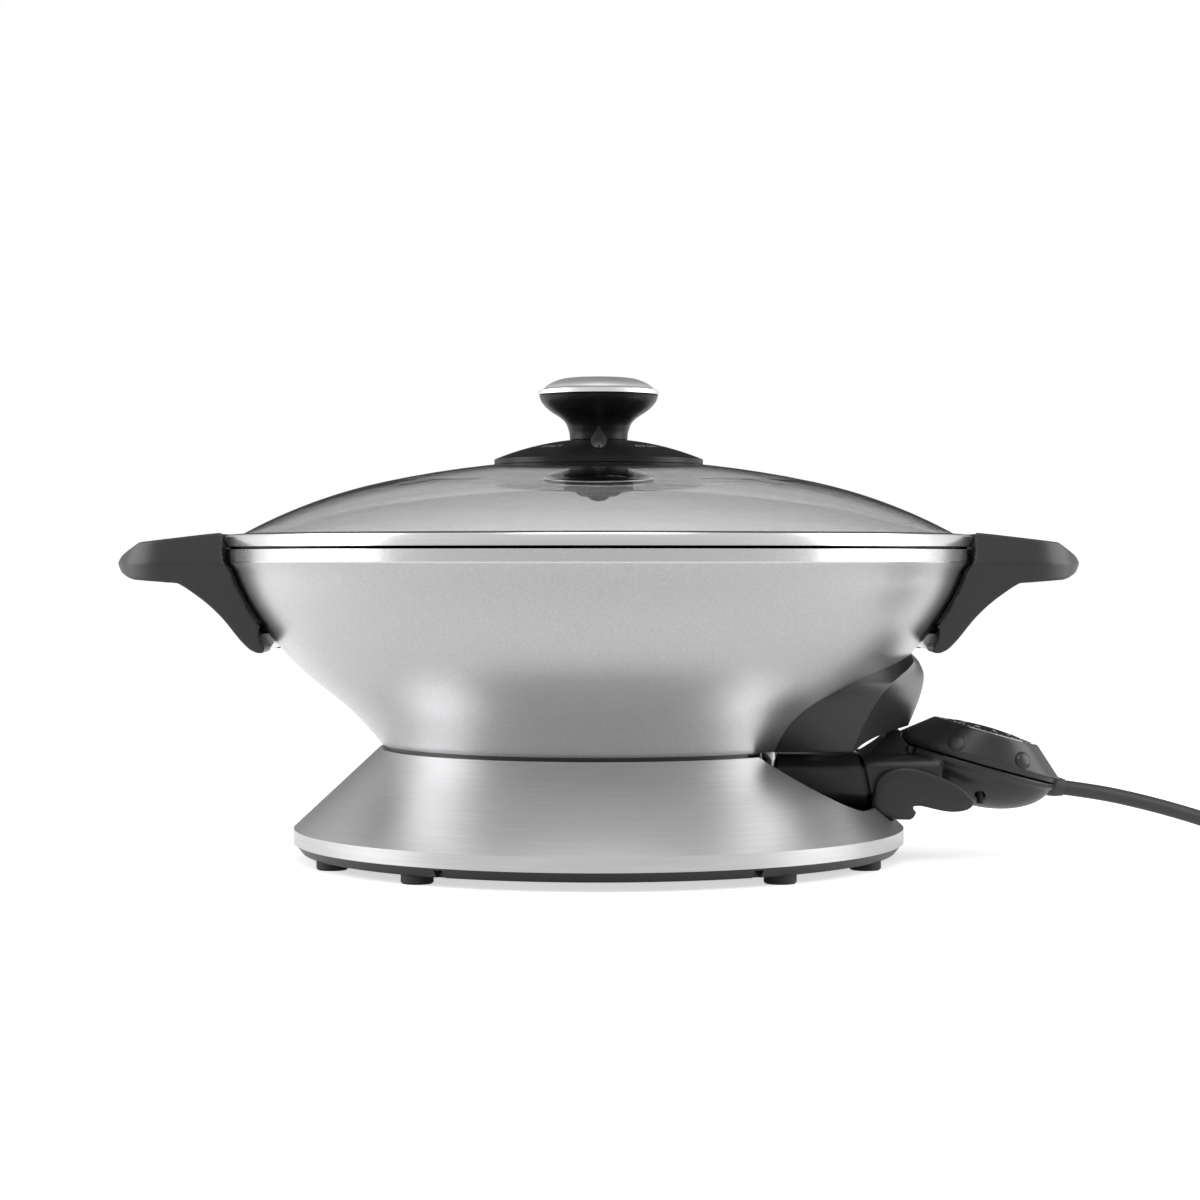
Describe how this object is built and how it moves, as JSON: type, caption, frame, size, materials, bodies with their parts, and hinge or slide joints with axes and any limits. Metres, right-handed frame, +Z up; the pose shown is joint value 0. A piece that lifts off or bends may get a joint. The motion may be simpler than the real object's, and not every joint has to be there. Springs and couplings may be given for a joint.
{
  "type": "electric wok",
  "caption": "Countertop electric wok: cast bowl on a round steel base, two side handles, loose glass lid with a vented knob, and a plug-in control probe with a dial and a mains lead.",
  "frame": {"origin": "on the surface that the wok stands on, under the middle of the wok without its lead", "axes": "+Z up, +X towards the control probe, -Y towards the front"},
  "size_m": [0.6947, 0.3886, 0.2521],
  "materials": {
    "steel_skirt": "satin",
    "black_plastic": "matte",
    "charcoal_plastic": "matte",
    "rubber": "matte",
    "cast_bowl": "satin painted",
    "polished_steel": "polished",
    "brushed_cap": "brushed",
    "plain_steel": "satin",
    "brass": "satin",
    "clear_glass": "polished",
    "gloss_black": "gloss",
    "lamp_glass": "clear",
    "ceramic": "glazed ceramic",
    "black_cord": "matte"
  },
  "bodies": {
    "wok": {"base_skirt": "steel_skirt", "base_tray": "black_plastic", "rubber_feet": "rubber", "cutout_back_panel": "black_plastic", "heat_shield": "plain_steel", "shield_screws": "plain_steel", "insulating_collar": "black_plastic", "locking_stud": "plain_steel", "wok_bowl": "cast_bowl", "heating_element": "plain_steel", "terminal_pins": "plain_steel", "pin_insulators": "ceramic", "probe_guide": "plain_steel", "earth_blade": "plain_steel", "socket_housing": "black_plastic", "socket_screws": "plain_steel", "element_guard": "charcoal_plastic", "guard_screws": "plain_steel", "right_handle": "charcoal_plastic", "left_handle": "charcoal_plastic", "handle_brackets": "plain_steel", "handle_spacers": "black_plastic", "handle_screws": "plain_steel"},
    "lock": {"lock_dial": "black_plastic", "lock_clip": "plain_steel"},
    "lid": {"lid_glass": "clear_glass", "lid_rim_band": "polished_steel", "vent_collar": "charcoal_plastic", "vent_gasket": "rubber", "under_boss": "black_plastic", "lid_washer": "plain_steel"},
    "vent_knob": {"knob_body": "black_plastic", "knob_cap": "brushed_cap", "knob_spindle": "plain_steel", "vent_shutter": "black_plastic", "knob_screw": "plain_steel"},
    "probe": {"probe_lower_shell": "charcoal_plastic", "probe_upper_shell": "charcoal_plastic", "dial_bezel": "polished_steel", "connector_block": "black_plastic", "contact_sockets": "brass", "sensor_rod": "plain_steel", "earth_contact": "brass", "thermostat": "ceramic", "indicator_lamp": "lamp_glass", "probe_screws": "plain_steel", "trigger_pins": "plain_steel", "trigger_springs": "plain_steel", "strain_relief": "rubber", "mains_cord": "black_cord", "cord_coil": "black_cord", "plug_body": "black_cord", "plug_pins": "brass"},
    "dial": {"temperature_dial": "gloss_black", "dial_shaft": "plain_steel"},
    "trigger": {"eject_trigger": "charcoal_plastic"}
  },
  "joints": [
    {"name": "lid_lift", "type": "slide", "parent": "wok", "child": "lid", "axis": [0, 0, 1], "range_m": [0, 0.12]},
    {"name": "vent_turn", "type": "hinge", "parent": "lid", "child": "vent_knob", "pos_m": [0, 0, 0.22], "axis": [0, 0, 1], "range_deg": [-35, 35]},
    {"name": "probe_pull", "type": "slide", "parent": "wok", "child": "probe", "axis": [1, 0, 0], "range_m": [0, 0.09]},
    {"name": "dial_turn", "type": "hinge", "parent": "probe", "child": "dial", "pos_m": [0.2041, 0, 0.0685], "axis": [0.2689, 0, 0.9632], "range_deg": [0, 270]},
    {"name": "trigger_press", "type": "hinge", "parent": "probe", "child": "trigger", "pos_m": [0.1495, 0, 0.038], "axis": [0, -1, 0], "range_deg": [0, 6], "stiffness_Nm_per_rad": 0.5, "springref_deg": -5.73},
    {"name": "base_lock", "type": "hinge", "parent": "wok", "child": "lock", "pos_m": [0, 0, 0.01], "axis": [0, 0, 1], "range_deg": [0, 90]}
  ]
}
